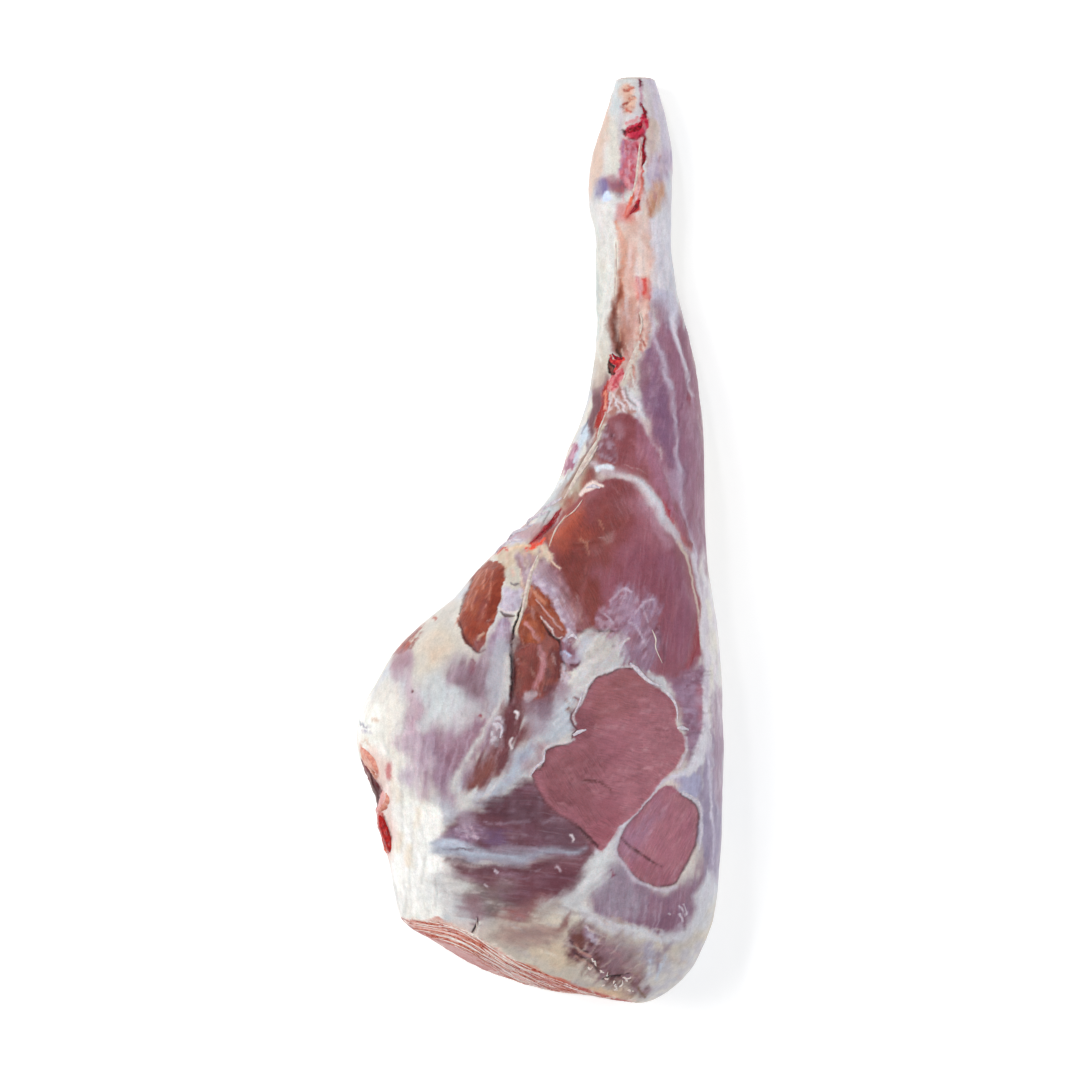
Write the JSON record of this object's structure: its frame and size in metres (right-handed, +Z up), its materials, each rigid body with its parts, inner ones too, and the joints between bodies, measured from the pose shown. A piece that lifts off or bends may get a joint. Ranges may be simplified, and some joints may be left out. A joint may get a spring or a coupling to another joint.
{
  "type": "raw mutton leg",
  "caption": "Raw leg of mutton lying on its inner side, from a slanting cut across the rump to the bare hock, with a shallow pocket in the front edge.",
  "frame": {"origin": "middle of the leg's bounding box, on the board that it lies on", "axes": "+Y along the leg from the rump cut to the hock, +Z up through the outer side that shows, +X towards the back of the leg"},
  "size_m": [0.1976, 0.5014, 0.1036],
  "materials": {
    "meat": "moist raw muscle under thin silverskin and fat"
  },
  "bodies": {
    "root": {"mutton_leg": "meat"}
  },
  "joints": []
}
